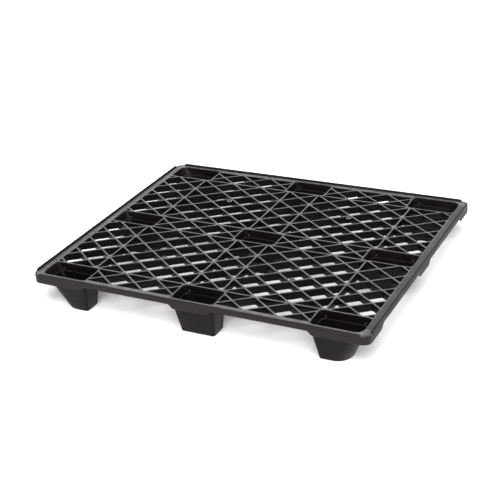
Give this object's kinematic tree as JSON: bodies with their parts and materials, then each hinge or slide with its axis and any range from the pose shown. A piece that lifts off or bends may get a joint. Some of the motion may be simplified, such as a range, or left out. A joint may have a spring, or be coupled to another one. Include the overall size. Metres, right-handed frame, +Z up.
{
  "type": "plastic pallet",
  "caption": "Nestable plastic export pallet with an open diamond-lattice deck, a raised rim and hollow tapered cup legs, entered by forks from any side",
  "frame": {"origin": "on the floor under the centre of the pallet", "axes": "+X along the 1200 mm side, +Y from the front long side to the back one, +Z up"},
  "size_m": [1.2, 1, 0.137],
  "materials": {
    "deck": "matte moulded, fine grain, scuffed on the rib tops",
    "rim": "matte moulded, light sheen on the top",
    "skirt": "matte moulded with slight flow marks",
    "leg": "matte moulded, worn at the foot",
    "boss": "matte moulded"
  },
  "bodies": {
    "root": {"deck_bay_back_left": "deck", "deck_bay_back_right": "deck", "deck_bay_front_left": "deck", "deck_bay_front_right": "deck", "deck_edge_back_left": "deck", "deck_edge_back_right": "deck", "deck_edge_front_left": "deck", "deck_edge_front_right": "deck", "deck_side_back_left": "deck", "deck_side_back_right": "deck", "deck_side_front_left": "deck", "deck_side_front_right": "deck", "deck_strip_back": "deck", "deck_strip_front": "deck", "deck_strip_left": "deck", "deck_strip_right": "deck", "flange_back": "rim", "flange_corner_back_left": "rim", "flange_corner_back_right": "rim", "flange_corner_front_left": "rim", "flange_corner_front_right": "rim", "flange_front": "rim", "flange_left": "rim", "flange_right": "rim", "gate_boss_back_left": "boss", "gate_boss_back_right": "boss", "gate_boss_front_left": "boss", "gate_boss_front_right": "boss", "leg_back_left": "leg", "leg_back_middle": "leg", "leg_back_right": "leg", "leg_centre": "leg", "leg_front_left": "leg", "leg_front_middle": "leg", "leg_front_right": "leg", "leg_middle_left": "leg", "leg_middle_right": "leg", "skirt_back": "skirt", "skirt_corner_back_left": "skirt", "skirt_corner_back_right": "skirt", "skirt_corner_front_left": "skirt", "skirt_corner_front_right": "skirt", "skirt_front": "skirt", "skirt_left": "skirt", "skirt_right": "skirt"}
  },
  "joints": []
}
